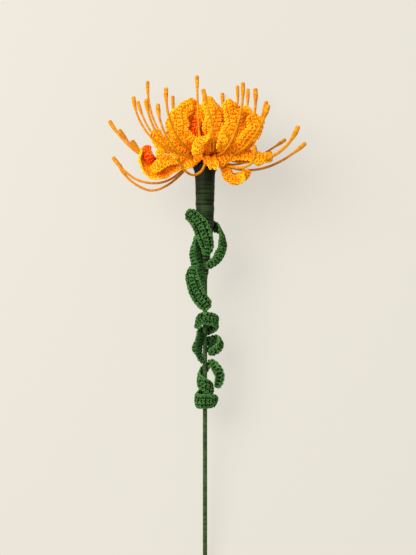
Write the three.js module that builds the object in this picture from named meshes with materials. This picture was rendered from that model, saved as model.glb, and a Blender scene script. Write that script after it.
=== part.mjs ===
// A crocheted pincushion flower on a wire stem, lying on its side on a table. Millimetres, +Z up.
//
// The flower is built in its own frame: +Y runs up the stem to the head, +X is to its right, +Z points
// away from the table, and the origin is on the stem's axis at the foot of the head. Azimuths turn about
// the stem: 0 is +X, 90 is +Z (the upper side), 180 is -X and 270 faces the table.
import * as THREE from "three";

// Driving dimensions.
const STEM_LENGTH = 303; // foot of the head to the cut end of the wire
const HEAD_HEIGHT = 42; // stem axis above the table at the foot of the head
const GAP = 0.35; // between pieces that lie against each other
const WIRE_RADIUS = 0.9;
const WIRE_IN_CORE = 8; // how far the wire runs on past the foot of the head
const BARE_WIRE = 1; // left bare at the cut end
const BORE_CLEARANCE = 0.3; // round the wire, inside what is wound on it
const WRAP_RADIUS = 1.5; // thread wound round the bare wire
const CORE_RADIUS = 5.2; // the wound core that every petal and style is bound to
const CORE_TOP = 19;
const STYLE_FOOT = CORE_RADIUS + GAP + 0.4; // from the stem's axis to where a style starts
const PETAL_FOOT = CORE_RADIUS + GAP + 0.7;
const NECK_TOP = -1;
const NECK_FOOT = -71.7;
const STYLE_RADIUS = 1.0;
const STYLE_TIP_RADIUS = 1.45;
const STYLE_TIP_LENGTH = 9;
const STYLE_BOW = 0.42; // how strongly a style bows, as a share of the way to its tip
const PETAL_THICKNESS = 1.9;
const LEAF_THICKNESS = 1.7;
const END_INSET = 0.7; // from the point that closes a soft piece to its first section
const EDGE_ROUNDING = 1.2; // of a strap's thickness, at its ends

// Sections of the soft pieces: sides round each, and steps along it.
const STYLE_SECTIONS = [6, 16];
const PETAL_SECTIONS = [8, 14];
const LEAF_SIDES = 8;
const LEAF_STEP = 2.6;
const BOW_STOPS = 12;

const radians = THREE.MathUtils.degToRad;
const { lerp, smoothstep } = THREE.MathUtils;

// The stem slopes from the head down to its cut end, which lies on the table.
const STEM_SLOPE = Math.asin((HEAD_HEIGHT - WRAP_RADIUS) / STEM_LENGTH);

const cotton = { yellow: 0xf7a11a, leaf: 0x2f6b34, thread: 0x2b4a26 };

function named(name, geometry, color, roughness = 0.9, metalness = 0) {
  const mesh = new THREE.Mesh(geometry, new THREE.MeshStandardMaterial({ color, roughness, metalness }));
  mesh.name = name;
  return mesh;
}

// A point at a height on the stem, out at a radius on an azimuth.
function around(azimuth, radius, height) {
  const a = radians(azimuth);
  return new THREE.Vector3(radius * Math.cos(a), height, radius * Math.sin(a));
}

// ---- Turned pieces: the profile runs outside first, from the axis or closed on itself ----

function turned(profile, sides) {
  const points = profile.map(([r, y]) => new THREE.Vector2(r, y));
  return new THREE.LatheGeometry(points, sides);
}

// A tube about the stem between two profiles of [radius, height], both from the foot up.
function sleeve(outside, inside, sides) {
  return turned([...outside, ...inside.toReversed(), outside[0]], sides);
}

// ---- Soft pieces: a sphere drawn out along a line, flattened across it ----

// at(s) gives the line's centre, the direction across the piece, its half width and half thickness at a
// share s of its length; its ends are rounded off.
function drawnOut(at, length, sides, steps) {
  const geometry = new THREE.SphereGeometry(1, sides, steps);
  const place = geometry.attributes.position;
  const uv = geometry.attributes.uv;
  const endShare = END_INSET / length;
  const step = 1e-3; // the share of the length over which the tangent is taken
  for (let i = 0; i < place.count; i++) {
    const row = Math.round((1 - uv.getY(i)) * steps);
    const inner = endShare + ((1 - 2 * endShare) * (row - 1)) / (steps - 2);
    const s = row === 0 ? 0 : row === steps ? 1 : inner;
    const { centre, across, halfWidth, halfThickness, cup = 0 } = at(s);
    const ahead = at(Math.min(1, s + step)).centre;
    const behind = at(Math.max(0, s - step)).centre;
    const tangent = ahead.clone().sub(behind).normalize();
    const side = across.clone().addScaledVector(tangent, -across.dot(tangent)).normalize();
    const face = tangent.clone().cross(side);
    const angle = uv.getX(i) * 2 * Math.PI;
    const pole = row === 0 || row === steps ? 0 : 1;
    const sideways = -Math.cos(angle) * pole;
    const point = centre
      .clone()
      .addScaledVector(side, sideways * halfWidth)
      .addScaledVector(face, Math.sin(angle) * halfThickness * pole - cup * sideways * sideways);
    place.setXYZ(i, point.x, point.y, point.z);
  }
  return geometry;
}

// 0 at the ends of a length, 1 once further in than the rounding radius.
function rounded(s, length, radius) {
  const inset = Math.min(1, (Math.min(s, 1 - s) * length + 0.02) / radius);
  return Math.sqrt(inset * (2 - inset));
}

// ---- Styles: thread-wound wires with a thicker tip ----

// Tip azimuth, tip reach from the axis, tip height, slope where it leaves the core, slope at the tip,
// height of its foot on the core, azimuth of its foot less that of its tip, and thickness.
const STYLE_ROWS = [
  [181, 62.5, 28, -30, 60, 4.6, -5, 1],
  [190, 57.5, 23, -26, 58, 4.6, 12, 1],
  [200, 51.5, 16.5, -10, 62, 7, 4, 1.1],
  [156, 50, 41.5, -14, 88, 7, -6, 1],
  [203, 48.5, 42.5, -8, 82, 4.6, 23, 0.95],
  [217, 48, 57, 0, 94, 7, 3, 0.95],
  [142, 47.5, 39, -8, 84, 4.6, -2, 1],
  [132, 44.5, 35.5, -6, 92, 2.2, -6, 1],
  [122, 46, 45, -8, 96, 7, -1, 1.05],
  [242, 46.5, 48.5, -4, 96, 4.6, 4, 0.95],
  [98, 36, 53, -16, 92, 4.6, -2, 0.9],
  [92, 40, 44, -14, 98, 7, -23, 1],
  [284, 48, 51, -6, 92, 7, 4, 1],
  [297, 48, 55.5, -6, 99, 4.6, 0, 0.95],
  [60, 47.5, 48, -14, 98, 4.6, 2, 1.05],
  [309, 45.5, 52.5, -6, 92, 7, 3, 0.95],
  [321, 43, 52, -6, 96, 4.6, 1, 1.2],
  [341, 43, 42, -6, 76, 7, -5, 1],
  [38, 51, 35, -14, 72, 4.6, 2, 1.15],
  [336, 59, 17.5, -18, 34, 2.2, -12, 0.9],
  [20, 63.5, 22.5, -20, 67, 4.6, -4, 1.3],
  [358, 66, 13.5, -30, 42, 2.2, -10, 1.05],
  [50, 48, 9, -28, 92, 2.2, -16, 1.1],
  [246, null, 30, -10, 84, 2.2, 0, 1],
  [295, null, 27, -10, 84, 2.2, 0, 1],
];

// Styles that no single bow describes, as stops of [azimuth, distance from the axis, height]: two that
// hang below the others before they rise, and one in front that has come round on itself.
const BENT_STYLES = [
  [
    [176, 6.1, 2.2],
    [176, 10.2, 0.4],
    [177, 15, -5],
    [177, 22.8, -10.8],
    [178, 32, -13.2],
    [178, 44.5, -10.8],
    [178, 53, -4.4],
    [178, 60.2, 4],
  ],
  [
    [198, 6.1, 2.2],
    [196, 10.2, 0.2],
    [193, 15, -6],
    [191, 25.5, -14.4],
    [190, 35.5, -17.6],
    [189, 46, -13.4],
    [188, 52.5, -7.6],
    [188, 57, 0],
  ],
  [
    [82, 6.1, 2.2],
    [87, 10.6, 0.8],
    [94, 15, -4.4],
    [101, 21.4, -8],
    [106, 29, -9.4],
    [109, 37, -7.6],
    [110.5, 43.3, -4],
    [111, 47.2, -0.6],
    [112, 49.2, 0.8],
    [114, 49.3, -1.2],
  ],
];

// How far below the stem's axis the table is, at a height on the stem.
function tableDepth(height) {
  return HEAD_HEIGHT / Math.cos(STEM_SLOPE) + height * Math.tan(STEM_SLOPE);
}

// The reach at which a style on the underside just lies on the table.
function restingReach(azimuth, height, radius) {
  return (tableDepth(height) - radius / Math.cos(STEM_SLOPE)) / Math.abs(Math.sin(radians(azimuth)));
}

// A style along a line, thread-wound all the way and thicker for a short way at its tip.
function woundWire(name, stops, thickness) {
  const line = new THREE.CatmullRomCurve3(stops.map((stop) => around(...stop)));
  const across = around(stops.at(-1)[0] + 90, 1, 0);
  const length = line.getLength();
  const at = (s) => {
    const tipward = smoothstep(s * length, length - STYLE_TIP_LENGTH, length - 0.4 * STYLE_TIP_LENGTH);
    const shaft = thickness * lerp(STYLE_RADIUS, STYLE_TIP_RADIUS, tipward);
    const girth = shaft * rounded(s, length, shaft);
    return { centre: line.getPointAt(s), across, halfWidth: girth, halfThickness: girth };
  };
  return named(name, drawnOut(at, length, ...STYLE_SECTIONS), cotton.yellow);
}

function bowedStyle(name, [azimuth, reach, rise, leave, arrive, foot, swing, thickness]) {
  const tipReach = reach ?? restingReach(azimuth, rise, STYLE_TIP_RADIUS * thickness);
  const start = new THREE.Vector2(STYLE_FOOT, foot);
  const end = new THREE.Vector2(tipReach, rise);
  const pull = STYLE_BOW * start.distanceTo(end);
  const out = new THREE.Vector2(Math.cos(radians(leave)), Math.sin(radians(leave)));
  const up = new THREE.Vector2(Math.cos(radians(arrive)), Math.sin(radians(arrive)));
  const bow = new THREE.CubicBezierCurve(
    start,
    start.clone().addScaledVector(out, pull),
    end.clone().addScaledVector(up, -pull),
    end,
  );
  const stops = bow.getSpacedPoints(BOW_STOPS).map(({ x: radius, y: height }, i) => {
    return [azimuth + swing * (1 - i / BOW_STOPS), radius, height];
  });
  return woundWire(name, stops, thickness);
}

// ---- Petals: crocheted straps bound to the core by a narrow foot ----

// Azimuth, height of the foot, length, slope where it leaves, slope at the tip, how late it curls, width,
// and how far it has rolled over about its length by the tip.
const DOME_ROWS = [
  [8, 10.2, 44, -10, 118, 1.5, 11, -40],
  [35, 10.2, 49, -20, 112, 1.4, 11, -45],
  [57, 10.2, 49, -14, 134, 1.1, 10, -10],
  [81, 10.2, 50, -12, 172, 1.1, 9.5, 0],
  [127, 10.2, 49, -10, 172, 1.2, 10, 24],
  [150, 10.2, 43, -10, 168, 1.1, 11, 30],
  [178, 10.2, 40, -10, 160, 1.1, 11, 30],
  [210, 10.2, 42, -8, 160, 1.1, 11, 0],
  [245, 10.2, 50, -6, 168, 1.2, 12, 15],
  [284, 10.2, 52, -6, 170, 1.2, 12, -15],
  [323, 10.2, 48, -12, 146, 1.4, 12, 0],
];
const INNER_ROWS = [
  [70, 14, 31, 30, 140, 1, 9, 0],
  [240, 14, 31, 30, 140, 1, 9, 0],
];

// Runs of [azimuth, distance from the axis, height, width, how far it has rolled over about its length].
const OUTER_RUNS = [
  [
    [150, 6.3, 1.8, 2.6, 0],
    [158, 13, 1, 7, -20],
    [164, 22, -3, 12, -52],
    [165, 32, -5.6, 13.5, -64],
    [165, 39.5, -4, 12, -54],
    [166, 42.5, 2.5, 9.5, -36],
    [167, 40.5, 9, 7, -20],
  ],
  [
    [194, 6.3, 9.4, 2.6, 0],
    [194, 16, 8, 6, 0],
    [193, 25, 9.5, 9, -20],
    [193, 31, 13.5, 10, -40],
    [193, 33, 20, 8, -40],
  ],
  [
    [222, 6.3, 2.2, 2.6, 0],
    [216, 15, 0, 6, 0],
    [210, 25, -1.5, 7.5, 0],
    [208, 33.5, 3, 6.5, 0],
  ],
  [
    [271, 6.3, 2.4, 2.6, 0],
    [271, 16, 0, 7, 0],
    [271, 27, 2, 9.5, 0],
    [271, 35, 9, 8, 0],
  ],
  [
    [0, 6.3, 6.6, 2.6, 0],
    [358, 14, 4.8, 6, 24],
    [357, 24, 4.2, 9, 50],
    [357, 35, 3.6, 10, 58],
    [357, 44.5, 2.4, 7.5, 50],
  ],
  [
    [10, 6.3, 1.6, 2.4, 0],
    [14, 10.4, 0.2, 4, 10],
    [20, 14.6, -3.6, 6, 30],
    [25, 19, -10, 7.5, 48],
    [29, 25, -12, 7.5, 52],
    [31, 30.8, -5, 6.5, 46],
  ],
  [
    [96, 6.3, 7, 2.4, 0],
    [92, 14, 6.8, 4.5, 0],
    [86, 22, 10, 5.5, 0],
    [85, 28, 15.6, 5.5, 0],
    [94, 31.8, 13, 6.5, 0],
    [98, 31, 6.6, 6.5, 0],
    [100, 28, 1.6, 5.5, 0],
  ],
  [
    [58, 6.3, 1.8, 2.4, 0],
    [68, 13, 1.8, 4.5, 0],
    [76, 19, 1.6, 6.5, 0],
    [79, 22.5, -1.2, 7, 0],
    [80, 21.5, -5.4, 6, 0],
  ],
  [
    [50, 6.3, 7.2, 2.4, 0],
    [57, 15, 7, 4.5, 0],
    [65, 25, 8.6, 6, 0],
    [69, 31.6, 12.6, 6, 0],
    [71, 30.6, 18.4, 5, 0],
  ],
];

// A petal's run from its foot, as radius and height: its slope turns steadily, later for a later curl.
function petalRun(foot, length, leave, arrive, late) {
  const steps = 40;
  const points = [new THREE.Vector2(PETAL_FOOT, foot)];
  for (let i = 0; i < steps; i++) {
    const slope = radians(lerp(leave, arrive, ((i + 0.5) / steps) ** late));
    const stride = new THREE.Vector2(Math.cos(slope), Math.sin(slope)).multiplyScalar(length / steps);
    points.push(points[i].clone().add(stride));
  }
  return new THREE.SplineCurve(points);
}

function curledPetal(name, [azimuth, foot, length, leave, arrive, late, width, roll]) {
  const line = petalRun(foot, length, leave, arrive, late);
  const at = (s) => {
    const { x: radius, y: height } = line.getPoint(s);
    const { x: outward, y: upward } = line.getTangent(s);
    const tangent = around(azimuth, outward, upward);
    const across = around(azimuth - 90, 1, 0).applyAxisAngle(tangent, radians(roll * s));
    const claw = lerp(0.3, 1, smoothstep(s, 0.05, 0.45));
    const halfWidth = (width / 2) * claw * rounded(s, length, width / 2);
    const halfThickness = (PETAL_THICKNESS / 2) * rounded(s, length, EDGE_ROUNDING);
    return { centre: around(azimuth, radius, height), across, halfWidth, halfThickness };
  };
  return named(name, drawnOut(at, length, ...PETAL_SECTIONS), cotton.yellow);
}

function loosePetal(name, run) {
  const line = new THREE.CatmullRomCurve3(run.map((stop) => around(...stop)));
  const shape = new THREE.CatmullRomCurve3(
    run.map(([azimuth, , , width, roll]) => new THREE.Vector3(width, roll, azimuth)),
  );
  const length = line.getLength();
  const at = (s) => {
    const { x: width, y: roll, z: azimuth } = shape.getPoint(s);
    const across = around(azimuth - 90, 1, 0).applyAxisAngle(line.getTangent(s), radians(roll));
    const halfWidth = (width / 2) * rounded(s, length, width / 2.2);
    const halfThickness = (PETAL_THICKNESS / 2) * rounded(s, length, EDGE_ROUNDING);
    return { centre: line.getPoint(s), across, halfWidth, halfThickness };
  };
  return named(name, drawnOut(at, length, ...PETAL_SECTIONS), cotton.yellow);
}

// ---- Leaves: crocheted straps twined round the stem ----

// Each leaf is a run of [azimuth, distance from the axis, height, width, azimuth that it faces].
const LEAF_RUNS = {
  leaf_top: [
    [151, 14, -31, 4.5, 100],
    [142, 12.2, -33.4, 7.5, 98],
    [124, 9.9, -37.8, 10, 95],
    [100, 8.8, -44, 11, 91],
    [86, 8.4, -50.5, 10, 88],
    [80, 7.4, -56, 8, 84],
    [88, 5.8, -61, 4, 90],
  ],
  leaf_loop: [
    [92, 4.4, -66.5, 3.5, 92],
    [48, 5.2, -66, 5.5, 62],
    [22, 8.8, -62, 6.5, 58],
    [6, 11.4, -56.5, 7.5, 46],
    [-6, 12, -49.5, 7.5, 34],
    [-28, 10.6, -43, 7, 0],
    [-70, 9, -41, 7, -60],
    [-118, 8.8, -46, 7, -136],
    [-158, 8.4, -54.5, 7, -212],
    [-184, 7.4, -63, 6.5, -238],
    [-210, 5.6, -74, 5.5, -250],
    [-248, 3.8, -85, 3, -258],
  ],
  leaf_middle: [
    [141, 9.4, -66.5, 4.5, 110],
    [144, 10.4, -73, 9, 112],
    [137, 9.6, -80.5, 10, 105],
    [114, 7.6, -87.5, 10, 94],
    [84, 6.6, -92.5, 9, 80],
    [64, 6.2, -95.2, 6, 64],
  ],
  leaf_curl: [
    [172, 6.4, -108, 5, 150],
    [128, 5.6, -102, 7.5, 128],
    [84, 6.2, -100.5, 8.5, 84],
    [30, 7.6, -102, 8.5, 34],
    [-20, 8, -105.5, 8, -10],
    [-75, 6.4, -108.5, 7, -75],
    [-130, 5.8, -112, 7, -140],
    [-168, 6, -117.5, 7.5, -222],
    [-190, 5, -125, 5.5, -240],
  ],
  leaf_side: [
    [72, 3.9, -122.5, 4.5, 72],
    [30, 7.6, -122, 6, 50],
    [6, 10, -118.8, 6.5, 44],
    [-12, 10.2, -115, 6.5, 24],
    [-45, 8, -115, 5.5, -35],
    [-84, 4.4, -119.5, 3.5, -84],
  ],
  leaf_foot: [
    [44, 9.8, -146.8, 5, 66],
    [26, 10, -139, 7, 60],
    [24, 7.6, -132.8, 7, 60],
    [12, 4.2, -130.2, 5.5, 50],
    [-50, 3.6, -132.2, 5, -40],
    [-110, 3.6, -135.4, 6, -110],
    [-180, 4, -139.6, 7.5, -180],
    [-240, 4.6, -143, 8.5, -240],
    [-290, 5.2, -145, 8.5, -290],
    [-345, 5, -146.8, 8.5, -345],
    [-400, 4.4, -148.4, 8.5, -400],
    [-460, 4.6, -150.6, 8.5, -460],
    [-515, 5.4, -152.6, 9, -515],
    [-565, 6.2, -154, 9.5, -565],
    [-615, 6.6, -154.8, 9.5, -615],
    [-665, 7, -154.6, 9, -665],
    [-705, 7.6, -153.4, 7, -700],
    [-730, 7.8, -152.6, 4.5, -722],
  ],
};

function leaf([name, run]) {
  const centres = run.map(([azimuth, radius, height]) => around(azimuth, radius, height));
  const line = new THREE.CatmullRomCurve3(centres, false, "catmullrom", 0.5);
  const widths = new THREE.CatmullRomCurve3(
    run.map(([, , , width, faces]) => new THREE.Vector3(width, faces, 0)),
    false,
    "catmullrom",
    0.5,
  );
  const length = line.getLength();
  const at = (s) => {
    const { x: width, y: faces } = widths.getPoint(s);
    const tangent = line.getTangent(s);
    const across = around(faces, 1, 0).cross(tangent);
    const halfWidth = (width / 2) * rounded(s, length, width / 2.2);
    const halfThickness = (LEAF_THICKNESS / 2) * rounded(s, length, EDGE_ROUNDING);
    return { centre: line.getPoint(s), across, halfWidth, halfThickness };
  };
  const steps = Math.max(16, Math.round(length / LEAF_STEP));
  return named(name, drawnOut(at, length, LEAF_SIDES, steps), cotton.leaf);
}

// ---- The stem and what is bound on it ----

const neckOutside = [
  [2.35, NECK_FOOT],
  [3.1, -64],
  [4.2, -56],
  [5.1, -48],
  [5.7, -40],
  [6.1, -28],
  [6.4, -12],
  [6.9, -6],
  [7.8, -3.6],
  [9.2, NECK_TOP - 0.8],
  [8.6, NECK_TOP],
];
const wireBore = WIRE_RADIUS + BORE_CLEARANCE;
const wrapFoot = BARE_WIRE - STEM_LENGTH;

const flower = new THREE.Group();

const wireLength = STEM_LENGTH + WIRE_IN_CORE;
const wire = new THREE.CylinderGeometry(WIRE_RADIUS, WIRE_RADIUS, wireLength, 16);
wire.translate(0, WIRE_IN_CORE - wireLength / 2, 0);
flower.add(named("stem_wire", wire, 0x8b8f8a, 0.4, 1));

flower.add(
  named(
    "stem_wrap",
    sleeve(
      [
        [WRAP_RADIUS, wrapFoot],
        [WRAP_RADIUS, NECK_FOOT - GAP],
      ],
      [
        [wireBore, wrapFoot],
        [wireBore, NECK_FOOT - GAP],
      ],
      16,
    ),
    cotton.thread,
  ),
);
flower.add(
  named(
    "neck_wrap",
    sleeve(
      neckOutside,
      [
        [wireBore, NECK_FOOT],
        [wireBore, NECK_TOP],
      ],
      20,
    ),
    cotton.thread,
  ),
);
flower.add(
  named(
    "flower_core",
    turned(
      [
        [0, WIRE_IN_CORE + GAP],
        [wireBore, WIRE_IN_CORE + GAP],
        [wireBore, NECK_TOP + GAP],
        [CORE_RADIUS, NECK_TOP + GAP],
        [CORE_RADIUS, CORE_TOP - 2],
        [CORE_RADIUS - 2, CORE_TOP],
        [0, CORE_TOP + 0.6],
      ],
      16,
    ),
    cotton.thread,
  ),
);

function addAll(kind, rows, make) {
  rows.forEach((row, index) => flower.add(make(`${kind}_${String(index + 1).padStart(2, "0")}`, row)));
}

addAll("style", STYLE_ROWS, bowedStyle);
addAll("bent_style", BENT_STYLES, (name, stops) => woundWire(name, stops, 1));
addAll("dome_petal", DOME_ROWS, curledPetal);
addAll("inner_petal", INNER_ROWS, curledPetal);
addAll("outer_petal", OUTER_RUNS, loosePetal);
Object.entries(LEAF_RUNS).forEach((entry) => flower.add(leaf(entry)));

// ---- Laid down: the head up on its styles, the stem's end on the table, the box centred on the origin ----

flower.rotation.x = STEM_SLOPE;
const box = new THREE.Box3().setFromObject(flower, true);
const middle = box.getCenter(new THREE.Vector3());
flower.position.set(-middle.x, -middle.y, -box.min.z);

const part = new THREE.Group();
part.add(flower);
export default part;
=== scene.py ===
import math
import random

import bmesh
import bpy
import numpy as np
from mathutils import Matrix, Vector, noise


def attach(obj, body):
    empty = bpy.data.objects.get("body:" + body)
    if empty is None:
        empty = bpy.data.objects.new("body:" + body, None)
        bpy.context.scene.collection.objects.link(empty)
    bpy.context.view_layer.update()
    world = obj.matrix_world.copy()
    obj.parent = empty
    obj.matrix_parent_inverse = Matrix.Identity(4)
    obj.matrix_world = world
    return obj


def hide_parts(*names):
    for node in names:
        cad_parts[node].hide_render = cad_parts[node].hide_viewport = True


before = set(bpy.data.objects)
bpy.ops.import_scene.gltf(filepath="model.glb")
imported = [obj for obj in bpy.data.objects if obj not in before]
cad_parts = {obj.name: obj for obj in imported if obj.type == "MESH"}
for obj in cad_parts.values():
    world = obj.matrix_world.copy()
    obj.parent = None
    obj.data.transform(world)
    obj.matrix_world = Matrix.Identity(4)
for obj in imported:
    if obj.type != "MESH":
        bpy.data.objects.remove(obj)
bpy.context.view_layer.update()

# ---- How the flower lies ----
# The flower lies on a table, on its lowest styles and on the cut end of its stem, so the stem slopes
# gently down from the head. Every piece is placed along and around the stem's own axis.

MM = 0.001
WIRE_INSIDE_HEAD = 8 * MM  # how far the stem's wire runs on past the foot of the head


def corners(node):
    return np.array([v.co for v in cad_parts[node].data.vertices])


def disc_centre(points):
    return Vector((points.min(axis=0) + points.max(axis=0)) / 2)


wire_points = corners("stem_wire")
wire_middle = wire_points[:, 1].mean()
cut_end = disc_centre(wire_points[wire_points[:, 1] < wire_middle])
wire_top = disc_centre(wire_points[wire_points[:, 1] > wire_middle])
UP_STEM = (wire_top - cut_end).normalized()
RIGHT = Vector((1, 0, 0))
FRONT = RIGHT.cross(UP_STEM)  # away from the table, square to the stem
head_foot = wire_top - UP_STEM * WIRE_INSIDE_HEAD


def on_flower(right, up, front):
    """A point given in millimetres from the foot of the head."""
    return head_foot + (RIGHT * right + UP_STEM * up + FRONT * front) * MM


# ---- Camera, table and light ----
# A tall frame seen square to the stem from above, a plain pale table, and one large round soft box above
# the table and up to the left, in an evenly lit pale room.

VIEW_HEIGHT = 360.75  # millimetres of the flower and table seen from top to bottom
VIEW_MIDDLE = (1.95, -74.4)  # right and up from the foot of the head
CAMERA_AWAY = 1100
SOFT_BOX_PLACE = (-720, 480, 1050)
SOFT_BOX_WIDTH = 1.1  # metres
SOFT_BOX_POWER = 29  # watts
ROOM_LIGHT = 0.62

camera = bpy.data.objects.new("camera", bpy.data.cameras.new("camera"))
bpy.context.collection.objects.link(camera)
camera.data.sensor_width = 36
camera.data.lens = camera.data.sensor_width * CAMERA_AWAY / VIEW_HEIGHT
camera.data.clip_end = 20
camera.matrix_world = Matrix.Translation(on_flower(*VIEW_MIDDLE, CAMERA_AWAY)) @ (
    Matrix((RIGHT, UP_STEM, FRONT)).transposed().to_4x4()
)
bpy.context.scene.camera = camera
bpy.context.scene.view_settings.view_transform = "Standard"


def linear(colour):
    """An sRGB hex colour as the linear one that Blender works in."""
    shares = [int(colour[i : i + 2], 16) / 255 for i in (1, 3, 5)]
    return [s / 12.92 if s <= 0.04045 else ((s + 0.055) / 1.055) ** 2.4 for s in shares] + [1]


lamp = bpy.data.objects.new("soft_box", bpy.data.lights.new("soft_box", "AREA"))
lamp.data.shape = "DISK"
lamp.data.size = SOFT_BOX_WIDTH
lamp.data.energy = SOFT_BOX_POWER
lamp.location = on_flower(*SOFT_BOX_PLACE)
lamp.rotation_euler = (lamp.location - head_foot).to_track_quat("Z", "Y").to_euler()
bpy.context.collection.objects.link(lamp)

room = bpy.data.worlds.new("pale_room")
room.use_nodes = True
room.node_tree.nodes["Background"].inputs["Color"].default_value = linear("#FFFDF8")
room.node_tree.nodes["Background"].inputs["Strength"].default_value = ROOM_LIGHT
bpy.context.scene.world = room


def add(material, kind, inputs=None, **settings):
    """Adds a node to a material, with its settings, and its inputs as links or values."""
    made = material.node_tree.nodes.new("ShaderNode" + kind)
    for key, value in settings.items():
        setattr(made, key, value)
    for socket, value in (inputs or {}).items():
        if isinstance(value, bpy.types.NodeSocket):
            material.node_tree.links.new(value, made.inputs[socket])
        else:
            made.inputs[socket].default_value = value
    return made.outputs


def blank(name):
    """A new material with only its output node."""
    material = bpy.data.materials.new(name)
    material.use_nodes = True
    material.node_tree.nodes.clear()
    return material


def show(material, shader):
    add(material, "OutputMaterial", {"Surface": shader["BSDF"]})


TABLE_HALF_WIDTH = 4  # metres
TABLE_BELOW = 0.2 * MM  # keeps the table's face off the lowest points of the flower

# A table of frosted white acrylic lit from below, which keeps the shadows pale: matt and even.
frosted = blank("frosted_acrylic")
show(
    frosted,
    add(
        frosted,
        "BsdfPrincipled",
        {
            "Base Color": linear("#64615A"),
            "Roughness": 0.9,
            "Emission Color": linear("#FFFAEE"),
            "Emission Strength": 0.6,
        },
    ),
)

table_sheet = bmesh.new()
bmesh.ops.create_grid(table_sheet, x_segments=1, y_segments=1, size=TABLE_HALF_WIDTH)
bmesh.ops.translate(table_sheet, verts=table_sheet.verts, vec=(0, 0, -TABLE_BELOW))
table_mesh = bpy.data.meshes.new("table")
table_sheet.to_mesh(table_mesh)
table_sheet.free()
table_mesh.materials.append(frosted)
table = bpy.data.objects.new("table", table_mesh)
bpy.context.collection.objects.link(table)

# ---- Stem wire ----
# Annealed florist's wire that stiffens the whole stem. It was cut with pliers, and its last millimetre
# shows bare below the thread.

DRAW_MARK = 0.15 * MM  # spacing of the die marks along drawn wire

# Drawn steel: grey and half polished, with fine marks along its length that stretch the reflections.
drawn_steel = blank("drawn_steel")
wire_place = add(drawn_steel, "TexCoord")["Object"]
marks = add(
    drawn_steel,
    "Mapping",
    {"Vector": wire_place, "Scale": (1 / DRAW_MARK, 0.02 / DRAW_MARK, 1 / DRAW_MARK)},
)["Vector"]
scratches = add(drawn_steel, "TexNoise", {"Vector": marks, "Scale": 1.0, "Detail": 2.0})["Fac"]
wire_rough = add(drawn_steel, "MapRange", {"Value": scratches, "To Min": 0.28, "To Max": 0.5})["Result"]
wire_bump = add(drawn_steel, "Bump", {"Height": scratches, "Strength": 0.3, "Distance": 0.01 * MM})
show(
    drawn_steel,
    add(
        drawn_steel,
        "BsdfPrincipled",
        {
            "Base Color": linear("#A6A8A4"),
            "Metallic": 1.0,
            "Roughness": wire_rough,
            "Normal": wire_bump["Normal"],
        },
    ),
)
stem_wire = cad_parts["stem_wire"]
stem_wire.data.materials.clear()
stem_wire.data.materials.append(drawn_steel)

# ---- Stem thread ----
# Dark green cotton thread wound tightly round the wire, one turn against the next, from the neck down to
# the cut end, where it is held with a touch of glue.

STEM_THREAD = 0.7 * MM  # from one turn to the next
ROWS_A_TURN = 4  # rows of faces over the width of one turn, with its crown on the first
TURN_HEIGHT = 0.31  # from the valley between two turns to their crowns, as a share of the thread
SLIP_LENGTH = 5  # turns over which the winding crowds and spreads
LUMP_LENGTH = 6  # turns over which the whole winding swells and sinks
LUMP_HEIGHT = 0.05  # how much it swells, as a share of its radius
TURN_PATCH = 1.6  # turns that lie alike, a little higher or lighter than the next ones
TURN_PROUD = 0.12  # how much higher they lie, as a share of the thread
MOST_PROUD = 0.04  # and at most, as a share of the radius
DYE_PATCH = 11.1 * MM  # size of the patches where the dye took more or less
STEM_FIBRE = 0.25 * MM  # size of the fibres that show on the thread


def smooth(knots, values, where):
    """Values and slopes at places between knots, on a curve through all of them."""
    slopes = np.gradient(values, knots, axis=0)
    low = np.clip(np.searchsorted(knots, where, side="right") - 1, 0, len(knots) - 2)
    span = (knots[low + 1] - knots[low])[:, None]
    s = (np.clip(where, knots[0], knots[-1]) - knots[low])[:, None] / span
    before, after = values[low], values[low + 1]
    out_slope, in_slope = slopes[low] * span, slopes[low + 1] * span
    value = (
        before * (1 + s * s * (2 * s - 3))
        + after * (s * s * (3 - 2 * s))
        + out_slope * (s * (1 - s) ** 2)
        - in_slope * (s * s * (1 - s))
    )
    slope = (
        (after - before) * (6 * s * (1 - s))
        + out_slope * ((1 - s) * (1 - 3 * s))
        - in_slope * (s * (2 - 3 * s))
    ) / span
    return value, slope


def unit(vectors):
    return vectors / np.linalg.norm(vectors, axis=1, keepdims=True)


def lay_along(mesh, knots, course):
    """Bends a piece made on the flat onto its course: x goes across it, y along it and z out of it.
    The course gives a centre, the way across and a half width at each knot."""
    flat = np.empty(len(mesh.vertices) * 3)
    mesh.vertices.foreach_get("co", flat)
    flat = flat.reshape(-1, 3)
    value, slope = smooth(knots, course, flat[:, 1])
    heading = unit(slope[:, :3])
    across = value[:, 3:6]
    across = unit(across - heading * (across * heading).sum(axis=1, keepdims=True))
    out = np.cross(across, heading)
    beyond = flat[:, 1] - np.clip(flat[:, 1], knots[0], knots[-1])
    placed = value[:, :3] + across * flat[:, [0]] + out * flat[:, [2]] + heading * beyond[:, None]
    mesh.vertices.foreach_set("co", placed.ravel())
    mesh.update()


def set_down(name, made, knots, course, material, slot, *solids):
    """Turns a bmesh made on the flat into a finished piece on its course, which stands for the solids."""
    for face in made.faces:
        face.smooth = True
    mesh = bpy.data.meshes.new(name)
    made.to_mesh(mesh)
    made.free()
    lay_along(mesh, knots, course)
    mesh.materials.append(material)
    piece = bpy.data.objects.new(name, mesh)
    bpy.context.collection.objects.link(piece)
    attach(piece, "root")
    if solids:
        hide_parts(*solids)


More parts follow.
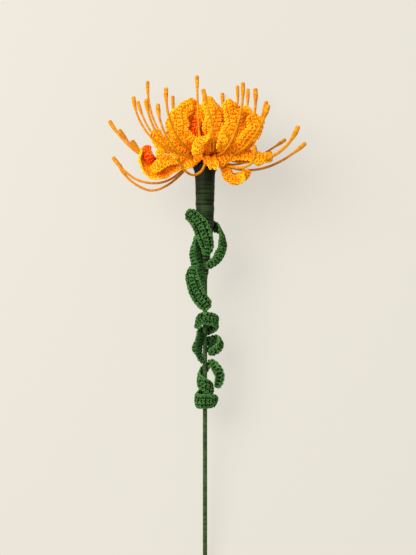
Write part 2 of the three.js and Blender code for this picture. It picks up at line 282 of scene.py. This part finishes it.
def wind(length, girth, pitch, sides, uneven, seed):
    """Thread wound round something from y = 0 to its length, where girth(y) is the radius to the crowns.
    The rows of faces follow the thread round, so that each turn has its own crown. Two attributes go
    with the points: how near the crown each is, and how light that stretch of thread is."""
    made = bmesh.new()
    crown = made.verts.layers.float.new("crown")
    turn_shade = made.verts.layers.float.new("turn_shade")
    rows = ROWS_A_TURN * (math.ceil(length / pitch) + 1)
    bmesh.ops.create_grid(made, x_segments=sides, y_segments=rows, size=0.5)
    depth = pitch * TURN_HEIGHT
    for vert in made.verts:
        round_share = vert.co.x + 0.5
        row = round((vert.co.y + 0.5) * rows)
        along = (row / ROWS_A_TURN + round_share - 1) * pitch
        along += noise.noise((along / (SLIP_LENGTH * pitch), seed, 0)) * uneven * pitch
        turn = round_share * 2 * math.pi
        ridge = abs(math.cos(math.pi * row / ROWS_A_TURN))
        if along <= 0 or along >= length:
            along = min(max(along, 0), length)
            ridge = 1
        lump = 1 + LUMP_HEIGHT * uneven * noise.noise(
            (2 * math.cos(turn), 2 * math.sin(turn) + seed, along / (LUMP_LENGTH * pitch))
        )
        lie = noise.noise(
            (along / (TURN_PATCH * pitch), math.cos(turn) / 2, math.sin(turn) / 2 + seed)
        )
        proud = min(TURN_PROUD * pitch, MOST_PROUD * girth(along)) * uneven * lie
        radius = girth(along) * lump + proud
        radius = max(0, radius - min(depth, 0.3 * radius) * (1 - ridge))
        vert.co = (radius * math.cos(turn), along, -radius * math.sin(turn))
        vert[crown] = ridge
        vert[turn_shade] = max(0, min(1, 0.5 + 1.5 * lie))
    bmesh.ops.remove_doubles(made, verts=made.verts, dist=0.004 * MM)
    bmesh.ops.holes_fill(made, edges=made.edges, sides=0)
    bmesh.ops.recalc_face_normals(made, faces=made.faces)
    return made


def cotton_thread(name, valley, dark, light, fibre):
    """Mercerised cotton sewing thread, wound: painted highlight along the crown of each turn and painted
    shade in the valley between two turns, with slow changes of shade where the dye took unevenly."""
    material = blank(name)
    place = add(material, "TexCoord")["Object"]
    crown = add(material, "Attribute", attribute_name="crown")["Fac"]
    dye = add(material, "TexNoise", {"Vector": place, "Scale": 1 / DYE_PATCH, "Detail": 3.0})["Fac"]
    hairs = add(material, "TexNoise", {"Vector": place, "Scale": 1 / fibre, "Detail": 2.0})["Fac"]
    turn = add(material, "Attribute", attribute_name="turn_shade")["Fac"]
    both = add(material, "Math", {0: dye, 1: turn}, operation="MULTIPLY")[0]
    shade = add(material, "MapRange", {"Value": both, "From Max": 0.55})["Result"]
    lit = add(
        material, "Mix", {0: shade, 6: linear(dark), 7: linear(light)}, data_type="RGBA"
    )[2]
    # Painted shade in the valleys and painted highlight on the crowns, from how near the crown each point
    # is.
    near = add(material, "MapRange", {"Value": crown, "From Min": 0.1, "From Max": 0.85})["Result"]
    colour = add(material, "Mix", {0: near, 6: linear(valley), 7: lit}, data_type="RGBA")[2]
    bump = add(material, "Bump", {"Height": hairs, "Strength": 0.35, "Distance": 0.06 * MM})
    show(
        material,
        add(
            material,
            "BsdfPrincipled",
            {
                "Base Color": colour,
                "Roughness": 0.55,
                "IOR": 1.5,
                "Specular IOR Level": 0.1,
                "Normal": bump["Normal"],
            },
        ),
    )
    return material


def turned_outline(node):
    """The heights up the stem and the radii of a turned solid's outside, from its foot up."""
    points = corners(node) - np.array(head_foot)
    heights = points @ np.array(UP_STEM)
    radii = np.linalg.norm(points - np.outer(heights, UP_STEM), axis=1)
    steps = sorted({round(h / MM, 2) for h in heights})
    return [(step * MM, max(radii[abs(heights - step * MM) < 0.01 * MM])) for step in steps]


FULLY_PAINTED_SHADE = 0.15  # share of the painted-shade length at the top over which the thread stays quite dark


def wind_on_stem(name, node, pitch, sides, uneven, material, slot, below=(), painted_shade_top=0):
    """Winds thread round the stem over the outside of a turned solid, and stands for that solid. Below
    holds any heights and radii that it goes on to, below the solid's foot. The last argument is the
    length at its top that is darkened with painted shade, for the shade the head casts, fading downwards."""
    heights, radii = zip(*below, *turned_outline(node))
    foot, length = heights[0], heights[-1] - heights[0]
    made = wind(
        length,
        lambda along: np.interp(foot + along, heights, radii),
        pitch,
        sides,
        uneven,
        seed=len(name),
    )
    # Painted shade: the turns near the top are darkened for the shade that the head casts on them.
    if painted_shade_top:
        turn_shade = made.verts.layers.float["turn_shade"]
        for vert in made.verts:
            vert[turn_shade] *= min(1, max(0, (length - vert.co.y) / painted_shade_top - FULLY_PAINTED_SHADE))
    ends = [head_foot + UP_STEM * heights[0], head_foot + UP_STEM * heights[-1]]
    course = np.array([[*end, *RIGHT, 0] for end in ends])
    set_down(name, made, np.array([0, length]), course, material, slot, node)


# Leaf-green thread, pulled tight: even, with a fine dark line of painted shade between the turns.
stem_green = cotton_thread("wound_stem_thread", "#0F1A0A", "#294420", "#44642F", STEM_FIBRE)
wind_on_stem(
    "stem_thread",
    "stem_wrap",
    STEM_THREAD,
    sides=12,
    uneven=0.5,
    material=stem_green,
    slot="green_thread",
)

# ---- Neck ----
# The tails of all the style wires are gathered round the stem below the head and wound over with the
# same green thread, thick under the head and tapering down to the bare stem.

NECK_THREAD = 0.62 * MM
NECK_PAINTED_SHADE = 38 * MM  # under the head, the length darkened with painted shade for the shade the head casts

# The last turns of the neck run down over the stem's own thread.
neck_foot, neck_foot_radius = turned_outline("neck_wrap")[0]
stem_radius = turned_outline("stem_wrap")[-1][1]
last_turns = [
    (neck_foot - 5 * MM, stem_radius - 0.05 * MM),
    (neck_foot - 1.5 * MM, stem_radius + 0.35 * MM),
]

# The same thread, with painted shade making it almost black under the head, and green in bands further
# down.
neck_green = cotton_thread("wound_neck_thread", "#040702", "#151A08", "#44632F", STEM_FIBRE)
wind_on_stem(
    "neck_thread",
    "neck_wrap",
    NECK_THREAD,
    sides=28,
    uneven=1.0,
    material=neck_green,
    slot="green_thread",
    below=last_turns,
    painted_shade_top=NECK_PAINTED_SHADE,
)

# ---- Core of the head ----
# A bobbin of thread inside the head, wound on the end of the stem. The feet of the petals and the styles
# are bound to it, and it hardly shows.

CORE_THREAD = 0.8 * MM

# Dark green thread in deep shade: dull, and hardly lighter on the crowns.
core_green = cotton_thread("wound_core_thread", "#0C120A", "#1B2A16", "#263A1E", STEM_FIBRE)
wind_on_stem(
    "core_thread",
    "flower_core",
    CORE_THREAD,
    sides=20,
    uneven=1.0,
    material=core_green,
    slot="green_thread",
)

# ---- Styles ----
# Each style is a thin wire wound with marigold thread from its foot to its tip, bent out and up by hand,
# with more turns over the last centimetre that make its thicker tip.

STYLE_THREAD = 0.72 * MM
STYLE_FIBRE = 0.3 * MM
TIP_LENGTH = 9 * MM  # the end of a style that has more turns on it
TIP_FULL = 5 * MM  # the part of that end where the tip has its full thickness
SHAFT_AND_TIP = [0.86, 1.1]  # their girths beside the solid's: pulled tight, and wound over again


def rings(node):
    """The rings of points along a drawn-out solid, from the end nearer to the foot of the head."""
    skin = bmesh.new()
    skin.from_mesh(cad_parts[node].data)
    bmesh.ops.remove_doubles(skin, verts=skin.verts, dist=0.002 * MM)
    degree = {v: len(v.link_edges) for v in skin.verts}
    beside_end = 5  # edges at each point of the ring next to an end point
    ends = [
        v for v in skin.verts if all(degree[e.other_vert(v)] == beside_end for e in v.link_edges)
    ]
    layer = [min(ends, key=lambda v: (v.co - head_foot).length)]
    seen = set(layer)
    found = []
    while layer:
        found.append(np.array([v.co for v in layer]))
        beside = {e.other_vert(v) for v in layer for e in v.link_edges}
        layer = [v for v in sorted(beside - seen, key=lambda v: v.index)]
        seen.update(layer)
    skin.free()
    return found


def distances(centres):
    steps = np.linalg.norm(np.diff(centres, axis=0), axis=1)
    return np.concatenate([[0], np.cumsum(steps)])


# Wound marigold thread: brown-orange painted shade between the turns and golden painted highlight on
# them, a little glossier than the crochet, because the thread is pulled tight on its wire.
style_thread = cotton_thread("wound_marigold_thread", "#A04E00", "#DA8200", "#F4AE12", STYLE_FIBRE)
style_nodes = sorted(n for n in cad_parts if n.startswith(("style_", "bent_style_")))
for number, node in enumerate(style_nodes):
    found = rings(node)
    centres = np.array([ring.mean(axis=0) for ring in found])
    girths = [np.linalg.norm(ring - c, axis=1).mean() for ring, c in zip(found, centres)]
    knots = distances(centres)
    outward = Vector(centres[-1] - centres[0])
    across = np.tile(UP_STEM.cross(outward).normalized(), (len(centres), 1))
    course = np.hstack([centres, across, np.zeros((len(centres), 1))])
    tip = [knots[-1] - TIP_LENGTH, knots[-1] - TIP_FULL]
    girths = girths * np.interp(knots, tip, SHAFT_AND_TIP)
    made = wind(
        knots[-1],
        lambda along: np.interp(along, knots, girths),
        STYLE_THREAD,
        sides=8,
        uneven=0.8,
        seed=number * 7.3,
    )
    set_down(f"{node}_wound", made, knots, course, style_thread, "marigold_thread", node)

# ---- Petals ----
# Straps of marigold cotton in single crochet, worked both ways from one foundation chain so that they
# narrow at both ends, then curled over the fingers. Their feet are bound to the core.

STITCH = 2.4 * MM  # along the strap
ROW = 2.25 * MM  # from one row of stitches to the next
CHAIN_YARN = 0.45 * MM  # half the width of the yarn in a chain
CHAIN_APART = 0.3 * MM  # from the middle of the strap to each leg of the foundation chain
CHAIN_LIFT = 0.85 * MM  # half the thickness of that chain
STITCH_LIFT = 0.98 * MM  # half the thickness of a stitch
EDGE_LIFT = 0.5 * MM  # half the thickness of each of the two loops on the edge
EDGE_RISE = 0.36 * MM  # how far those two lie to either side of the strap's plane
EDGE_INSET = 0.8 * MM  # how much of the half width they take up
INNER_YARN = 0.5 * MM  # thickness of the yarn that runs through inside the stitches
INNER_MARGIN = 0.8 * MM  # how far it stops short of each end
END_RADIUS = 3 * MM  # of the rounded end of a strap
WAVE_LENGTH = 14 * MM  # from one ruffle of an edge to the next
DENT = 6 * MM  # size of the dents left by the fingers
YARN_FUZZ = 0.556 * MM  # drawn coarser than real fuzz, so that it shows
NARROW_END = 1.5 * MM  # half width under which the end of a strap is as thick as it is wide


def yarn_leg(made, centre, heading, size, detail):
    """One leg of a stitch: a plump, blunt length of yarn in the plane of the strap. The size is half its
    length, half its width and half its thickness."""
    along = Vector((math.cos(heading), math.sin(heading), 0))
    out = Vector((0, 0, 1))
    turned = Matrix((out.cross(along), out, along)).transposed().to_4x4()
    place = Matrix.Translation(centre) @ turned @ Matrix.Diagonal((size[1], size[2], size[0], 1))
    leg = bmesh.ops.create_uvsphere(
        made, u_segments=detail, v_segments=detail - 1, radius=1, calc_uvs=True
    )["verts"]
    for vert in leg:
        blunt = 1 + 0.4 * vert.co.z * vert.co.z
        vert.co.x *= blunt
        vert.co.y *= blunt
        vert.co = place @ vert.co
    return leg


def column_of_stitches(half, slant, pitch, chance, detail):
    """One stitch of every row of a strap, from edge to edge, worked about the origin. The slant is how
    fast the edge draws away from the middle."""
    worked = bmesh.new()
    worked.loops.layers.uv.new("yarn_lie")
    crown = worked.verts.layers.float.new("crown")
    stitch_shade = worked.verts.layers.float.new("stitch_shade")

    def leg(x, y, z, heading, size, shade):
        """Lays a leg a little out of true, as hand work is. Its crown, and the strap's edge, get painted
        highlight.
        """
        wobble = [chance.uniform(-1, 1) for _ in range(4)]
        centre = (x + wobble[0] * 0.08 * MM, y + wobble[1] * 0.1 * MM, z + wobble[2] * 0.08 * MM)
        for vert in yarn_leg(worked, centre, heading + 0.1 * wobble[3], size, detail):
            lift = abs(vert.co.z) / (0.95 * MM)
            rim = (abs(vert.co.x) - half + 0.7 * MM) / (0.7 * MM)
            vert[crown] = max(0, min(1, max(lift, rim)))
            vert[stitch_shade] = shade

    inside = max(0, half - EDGE_INSET)
    rows = round(inside / ROW)
    for side in (-1, 1):
        chain = (0.56 * pitch, CHAIN_YARN, CHAIN_LIFT)
        leg(side * CHAIN_APART, 0, 0, math.pi / 2 - side * 0.35, chain, chance.random())
        for face in (-1, 1):
            edge = (0.6 * pitch, CHAIN_YARN, EDGE_LIFT)
            turn = math.pi / 2 + side * (face * 0.3 - math.atan(slant))
            shift = face * 0.2 * pitch
            x = side * (half - CHAIN_YARN + slant * shift)
            leg(x, shift, face * EDGE_RISE, turn, edge, 0.8)
        for row in range(rows):
            reach = inside / rows
            x = CHAIN_APART + (row + 0.5) * reach
            shade = chance.random()
            slipped = (chance.uniform(-0.14, 0.14) + 0.25 * (row % 2)) * pitch
            raised = chance.uniform(-0.22, 0.22) * MM
            lean = chance.uniform(-0.25, 0.25)
            for split in (-1, 1):
                stitch = (0.54 * reach, 0.235 * pitch, STITCH_LIFT)
                turn = (0 if side > 0 else math.pi) + side * split * 0.55 + lean
                leg(side * x, split * 0.19 * pitch + slipped, raised, turn, stitch, shade)
    return worked


def join(made, piece):
    """Adds a piece worked apart to the whole."""
    mesh = bpy.data.meshes.new("joined")
    piece.to_mesh(mesh)
    piece.free()
    made.from_mesh(mesh)
    bpy.data.meshes.remove(mesh)


def crochet(knots, course, cup, ruffle, chance, detail=6, shaded=0):
    """A strap of single crochet on the flat: a foundation chain along the middle, rows of V stitches
    out to both edges and a chain of loops along each edge, over the yarn that runs through inside. Cup
    is how far its edges rise over its middle, and ruffle how far they wave. Shaded is the length from
    its foot that lies deep among the others, where little light gets in, darkened there with painted
    shade."""
    made = bmesh.new()
    made.loops.layers.uv.new("yarn_lie")
    made.verts.layers.float.new("crown")
    made.verts.layers.float.new("stitch_shade")
    length = knots[-1]
    columns = max(4, round(length / STITCH))
    pitch = length / columns
    wave = chance.uniform(0, 2 * math.pi)

    def half_width(y):
        end_room = math.sqrt(max(0, 2 * END_RADIUS * min(y, length - y)))
        return max(0.9 * MM, min(end_room, float(np.interp(y, knots, course[:, 6]))))

    for column in range(columns):
        y = (column + 0.5) * pitch
        slant = (half_width(y + 0.3 * pitch) - half_width(y - 0.3 * pitch)) / (0.6 * pitch)
        slant = max(-1, min(1, slant))
        worked = column_of_stitches(half_width(y), slant, pitch, chance, detail)
        bmesh.ops.translate(worked, verts=worked.verts, vec=(0, y, 0))
        join(made, worked)

    # Its points get no crown, so it shows the gap colour, the painted shade between the stitches.
    inner = bmesh.new()
    bmesh.ops.create_grid(inner, x_segments=4, y_segments=columns, size=0.5)
    for vert in inner.verts:
        y = (vert.co.y + 0.5) * (length - 2 * INNER_MARGIN) + INNER_MARGIN
        vert.co = (vert.co.x * 2 * max(0.3 * MM, half_width(y) - 0.6 * MM), y, 0)
    bmesh.ops.solidify(inner, geom=inner.faces, thickness=INNER_YARN)
    join(made, inner)

    crown = made.verts.layers.float["crown"]
    for vert in made.verts:
        vert.co.y = max(0.1 * MM, min(length - 0.1 * MM, vert.co.y))
        # Painted shade: near the foot, the crowns lose their lighter colours.
        if shaded:
            vert[crown] *= 0.3 + 0.7 * min(1, vert.co.y / shaded)
        share = max(-1, min(1, vert.co.x / half_width(vert.co.y)))
        lap = 2 * math.pi * vert.co.y / WAVE_LENGTH + wave
        one_edge = ruffle * math.sin(1.6 * lap + 2) * share
        vert.co.z += (cup + ruffle * math.sin(lap)) * (share * share - 0.3) + 0.6 * one_edge
        vert.co.x += 0.8 * ruffle * math.sin(0.8 * lap) * min(1, vert.co.y / (10 * MM))
        dent = vert.co / DENT
        vert.co.z += 1.3 * ruffle * noise.noise((dent.x, dent.y, wave))
        vert.co.y += 0.8 * ruffle * noise.noise((dent.x, dent.y, wave + 9))
    return made


def cotton_yarn(name, gap, shade, light, glow):
    """Mercerised cotton crochet yarn: painted highlight on the crown of each stitch, and painted shade, a
    deep colour, between the stitches, where the light only reaches by way of the yarn beside it. The glow
    is a painted glow in the gap colour that stands for that light, which keeps the shadows of a bright
    yarn warm."""
    material = blank(name)
    place = add(material, "TexCoord")["Object"]
    crown = add(material, "Attribute", attribute_name="crown")["Fac"]
    stitch = add(material, "Attribute", attribute_name="stitch_shade")["Fac"]
    lie = add(material, "SeparateXYZ", {0: add(material, "UVMap", uv_map="yarn_lie")["UV"]})
    fuzz = add(material, "TexNoise", {"Vector": place, "Scale": 1 / YARN_FUZZ, "Detail": 2.0})["Fac"]
    along = add(material, "Math", {0: lie["Y"], 1: 2 * math.pi * 2.5}, operation="MULTIPLY")[0]
    twist = add(
        material, "Math", {0: lie["X"], 1: 2 * math.pi * 3, 2: along}, operation="MULTIPLY_ADD"
    )[0]
    ply = add(material, "Math", {0: twist}, operation="SINE")[0]
    rough = add(material, "Math", {0: ply, 1: 0.5, 2: fuzz}, operation="MULTIPLY_ADD")[0]
    # Painted shade between the stitches and painted highlight on their crowns, from how high each point
    # lies.
    low = add(material, "MapRange", {"Value": crown, "From Max": 0.55})["Result"]
    high = add(material, "MapRange", {"Value": crown, "From Min": 0.5, "From Max": 1.0})["Result"]
    varied = add(material, "Math", {0: stitch, 1: 0.6, 2: 0.4}, operation="MULTIPLY_ADD")[0]
    top = add(material, "Math", {0: high, 1: varied}, operation="MULTIPLY")[0]
    deep = add(material, "Mix", {0: low, 6: linear(gap), 7: linear(shade)}, data_type="RGBA")[2]
    colour = add(material, "Mix", {0: top, 6: deep, 7: linear(light)}, data_type="RGBA")[2]
    bump = add(material, "Bump", {"Height": rough, "Strength": 0.5, "Distance": 0.08 * MM})
    show(
        material,
        add(
            material,
            "BsdfPrincipled",
            {
                "Base Color": colour,
                "Roughness": 0.68,
                "IOR": 1.5,
                "Specular IOR Level": 0.1,
                # A painted glow in the gap colour, which lifts the shadows.
                "Emission Color": linear(gap),
                "Emission Strength": glow,
                "Normal": bump["Normal"],
            },
        ),
    )
    return material


def strap_course(node, inside):
    """The course of a strap's middle, with its way across and its half width at each knot. Its right side
    faces away from the point that inside gives for each place on it."""
    found = rings(node)[1:-1]
    centres = np.array([ring.mean(axis=0) for ring in found])
    spans = []
    for ring in found:
        apart = ring[:, None, :] - ring[None, :, :]
        far = np.unravel_index(np.linalg.norm(apart, axis=2).argmax(), apart.shape[:2])
        span = apart[far] / 2
        if spans and span @ spans[-1] < 0:
            span = -span
        spans.append(span)
    spans = np.array(spans)
    half = np.linalg.norm(spans, axis=1)
    flat = np.flatnonzero(half > NARROW_END)
    spans[: flat[0]] = spans[flat[0]]
    spans[flat[-1] + 1 :] = spans[flat[-1]]
    out = np.cross(spans, np.gradient(centres, axis=0))
    away = centres - np.array([inside(Vector(centre)) for centre in centres])
    if (out * away).sum() < 0:
        spans = -spans
    return distances(centres), np.hstack([centres, unit(spans), half[:, None]])


def dome_middle(place):
    return on_flower(0, 18, 0)


def bow(node):
    """How far the edges of a petal draw in towards the dome."""
    return -2.2 * MM if node.startswith("dome") else -1.4 * MM


# Marigold yarn: golden painted highlight on the stitches and orange painted shade between them, with a
# painted glow that keeps the shadows warm.
marigold_yarn = cotton_yarn(
    "crocheted_marigold_cotton", "#E86800", "#FA9A04", "#FFC61E", glow=0.07
)
petal_nodes = sorted(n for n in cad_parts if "_petal_" in n)
for number, node in enumerate(petal_nodes):
    chance = random.Random(100 + number)
    knots, course = strap_course(node, dome_middle)
    cup = bow(node) * chance.uniform(0.5, 1.3)
    made = crochet(knots, course, cup, ruffle=1.3 * MM, chance=chance, shaded=20 * MM)
    set_down(f"{node}_crochet", made, knots, course, marigold_yarn, "marigold_cotton", node)

# ---- Lining of the dome ----
# More petals of the same kind, smaller and closer in, that fill the dome behind the gaps between the
# outer ones and close over its heart. They are bound to the core before the outer ones.

# The same yarn with painted shade, for how it looks deep in the head: red-orange, as if lit only by the
# yarn round it.
painted_shade_yarn = cotton_yarn(
    "crocheted_marigold_cotton_painted_shade", "#C42C00", "#E65400", "#F68000", glow=0.1
)
dome_nodes = [n for n in petal_nodes if n.startswith("dome")]
BESIDE_HOLLOW = "dome_petal_05"  # the dome is open between this one and the one before it

# Layers from the outside in, each with its size beside the outer petals, its turn in degrees and its
# lift up the stem from them, and its yarn. The last is the small tight heart that closes the top.
LINING = [
    (0.94, 12, 0, marigold_yarn),
    (0.72, 14, 0, painted_shade_yarn),
    (0.54, 27, 14 * MM, marigold_yarn),
]
dome_hub = np.array(on_flower(0, 3, 0))
for layer, (share, turn, lift, yarn) in enumerate(LINING):
    for number, node in enumerate(dome_nodes):
        if layer == 0 and node == BESIDE_HOLLOW:
            continue
        chance = random.Random(200 + 50 * layer + number)
        knots, course = strap_course(node, dome_middle)
        spin = np.array(Matrix.Rotation(math.radians(turn + chance.uniform(-4, 4)), 3, UP_STEM))
        size = share + chance.uniform(-0.03, 0.03)
        lifted = dome_hub + np.array(UP_STEM) * lift
        course[:, :3] = (course[:, :3] - dome_hub) @ spin.T * size + lifted
        course[:, 3:6] = course[:, 3:6] @ spin.T
        knots = knots * size
        made = crochet(
            knots, course, cup=-1.8 * MM, ruffle=1.2 * MM, chance=chance, detail=5
        )
        name = f"lining_petal_{layer + 1}_{number + 1:02d}"
        set_down(name, made, knots, course, yarn, "marigold_cotton")

# ---- Tucked petals ----
# Short straps of the same crochet, pushed in between the others last of all and folded over by hand.
# They fill the foot of the head and break up the top of the dome.

# Stops along each: right, up and out to the front from the foot of the head, width, and roll in degrees.
TUCKED_PETALS = {
    "neck_top": [
        (-1, 4, 12, 3, 0),
        (2.5, 0, 14.5, 6, 0),
        (7.5, -0.5, 15.5, 7.5, 0),
        (13, 3, 15, 8, 10),
        (18, 7, 13.5, 7.5, 10),
        (22, 9.5, 10, 4, 0),
    ],
    "lower_right": [
        (8, 1, 7, 3, 0),
        (12, -3.5, 10, 6, 10),
        (15, -9, 11, 7, 20),
        (20, -12, 10.5, 7, 20),
        (25.5, -9, 9, 7, 10),
        (27.5, -4.5, 7, 5, 0),
    ],
    "right": [
        (7, 3, 8, 4, 0),
        (16, 4.5, 12, 7, -20),
        (26, 4.5, 13, 9, -25),
        (36, 3, 12, 8, -25),
        (44, 2.5, 9, 5, -10),
    ],
    "left_upper": [
        (-8, 2, 8, 3, 0),
        (-17, 2.5, 12, 6, 10),
        (-25, 0.5, 14, 8, 20),
        (-31, -2.5, 14, 8, 20),
        (-35, -5, 11, 5, 10),
    ],
    "left_end": [
        (-32, 0, 9, 4, 0),
        (-36, 2.5, 12, 7, -20),
        (-38, 7, 11.5, 7.5, -20),
        (-36.5, 10.5, 7.5, 5, 0),
    ],
    "left_curl": [
        (-20, 0, 13, 3, 0),
        (-26, 2, 15, 5, 0),
        (-29, 5.5, 15, 5, 0),
        (-27, 8, 12, 4, 0),
    ],
    "left_lobe": [
        (-10, 6, 8, 4, 0),
        (-19, 9, 11, 8, 0),
        (-27, 12.5, 11, 10, 10),
        (-31, 18, 9, 8, 20),
        (-29, 21, 5, 4, 20),
    ],
    "beside_hollow": [
        (-6, 35, 13, 4, 0),
        (-12, 31, 18, 6, 30),
        (-15, 24, 20.5, 6.5, 40),
        (-12.5, 17.5, 20.5, 6, 40),
        (-7, 13.5, 19, 5.5, 30),
        (-1, 12, 16, 4, 0),
    ],
    "front_curl": [
        (3, 8, 17, 3, 0),
        (6, 13, 21.5, 5.5, 0),
        (10, 17, 24, 6, 0),
        (14, 17.5, 24, 6, 0),
        (16.5, 14, 22, 4, 0),
    ],
    "right_front": [
        (12, 6, 13, 4, 0),
        (18, 9.5, 17, 7, 0),
        (25, 13, 17.5, 8, 0),
        (30, 18, 14.5, 7, 0),
        (31, 22, 10, 4, 0),
    ],
    "hollow_foot": [
        (-4.5, 28, 8, 4, 0),
        (-4, 22, 10, 8, 0),
        (-2, 16, 12, 9.5, 0),
        (0, 10, 13.5, 7, 0),
        (1, 5, 13, 3, 0),
    ],
    "neck_left": [
        (-1, 4, 10, 3, 0),
        (-6, 1, 11, 5, 0),
        (-11, -1, 10, 5.5, 10),
        (-16, -2.5, 8, 5.5, 20),
        (-21, -4.5, 6, 3.5, 20),
    ],
    "dome_right": [
        (19, 31, 13, 4, 0),
        (22.5, 25.5, 17.5, 6.5, -20),
        (23.5, 18, 19.5, 7.5, -30),
        (21, 11, 18.5, 5, -20),
    ],
    "top_left": [
        (-10, 31, 10, 4, 0),
        (-10.5, 36, 12, 6, 0),
        (-8, 39.5, 9.5, 6, 0),
        (-6, 37.5, 5, 4, 0),
    ],
    "top_middle": [
        (4, 33, 14, 4, 0),
        (2.5, 38, 13.5, 7, 0),
        (2, 41.5, 9, 7, 0),
        (3, 40, 4, 4, 0),
    ],
    "top_right": [
        (24, 24, 13, 4, 0),
        (27, 30, 12, 7, 0),
        (26, 34, 8, 6, 0),
        (23, 35, 4, 4, 0),
    ],
}
IN_SHADE = {"hollow_foot", "left_end"}  # turned away from the light, so they take the copy of the yarn with painted shade


def hand_laid(stops):
    """The course of a strap along listed stops. It faces the front, but for its roll."""
    centres = np.array([on_flower(*stop[:3]) for stop in stops])
    across = []
    for heading, stop in zip(np.gradient(centres, axis=0), stops):
        heading = Vector(heading).normalized()
        level = heading.cross(FRONT).normalized()
        across.append(Matrix.Rotation(math.radians(stop[4]), 3, heading) @ level)
    half = np.array([[stop[3] / 2 * MM] for stop in stops])
    return distances(centres), np.hstack([centres, np.array(across), half])


for number, (place, stops) in enumerate(TUCKED_PETALS.items()):
    chance = random.Random(400 + number)
    knots, course = hand_laid(stops)
    made = crochet(
        knots, course, cup=-1.5 * MM, ruffle=0.7 * MM, chance=chance, shaded=12 * MM
    )
    yarn = painted_shade_yarn if place in IN_SHADE else marigold_yarn
    set_down(f"tucked_petal_{place}", made, knots, course, yarn, "marigold_cotton")

# ---- Leaves ----
# Narrower straps in the same stitch in dark green cotton. Each is sewn to the stem thread at one end and
# twined round the stem, with the other end left to curl.

SQUARE_END = 10 * MM  # the length at the head end of the top leaf that was fastened off square
SQUARE_END_HALF_WIDTH = 4.4 * MM


def stem_axis(place):
    return head_foot + UP_STEM * (place - head_foot).dot(UP_STEM)


# Dark green yarn: mid green painted highlight on the stitches and almost black painted shade between them.
leaf_yarn = cotton_yarn("crocheted_leaf_cotton", "#020A00", "#1F451A", "#548440", glow=0.0)
leaf_nodes = sorted(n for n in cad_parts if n.startswith("leaf_"))
for number, node in enumerate(leaf_nodes):
    chance = random.Random(300 + number)
    knots, course = strap_course(node, stem_axis)
    if node == "leaf_top":
        square = knots < SQUARE_END
        course[square, 6] = np.maximum(course[square, 6], SQUARE_END_HALF_WIDTH)
    made = crochet(knots, course, cup=-1.1 * MM, ruffle=0.3 * MM, chance=chance)
    set_down(f"{node}_crochet", made, knots, course, leaf_yarn, "green_cotton", node)

# The turns of the leaves that lie against the stem, laid along listed stops as the tucked petals are.
TUCKED_LEAVES = {
    "loop": [
        (-5, -50, 4, 2.6, 0),
        (-4.6, -57, 4.4, 4, -30),
        (-3.6, -64, 4, 4.4, -30),
        (-2.6, -71, 3, 4, -30),
        (-1.6, -78, 2.6, 3.6, -20),
        (-0.8, -84, 2.4, 2.4, 0),
    ],
    "side": [
        (0, -121.5, 1.4, 3, 0),
        (3.5, -120.5, 1.5, 4.5, 0),
        (5.5, -118, 1, 5, 0),
        (4.5, -115.4, 0, 4.5, 0),
        (1, -114, -1.5, 3, 0),
    ],
    "under_curl": [
        (-1.6, -110, 2.6, 3, 0),
        (-3.2, -115.5, 2, 5, -20),
        (-3.8, -121, 1.2, 5, -30),
        (-2.8, -126.5, 1, 4, -20),
        (-1, -130, 2, 2.6, 0),
    ],
}
for number, (place, stops) in enumerate(TUCKED_LEAVES.items()):
    chance = random.Random(500 + number)
    knots, course = hand_laid(stops)
    made = crochet(
        knots, course, cup=-0.8 * MM, ruffle=0.3 * MM, chance=chance, shaded=30 * MM
    )
    set_down(f"tucked_leaf_{place}", made, knots, course, leaf_yarn, "green_cotton")
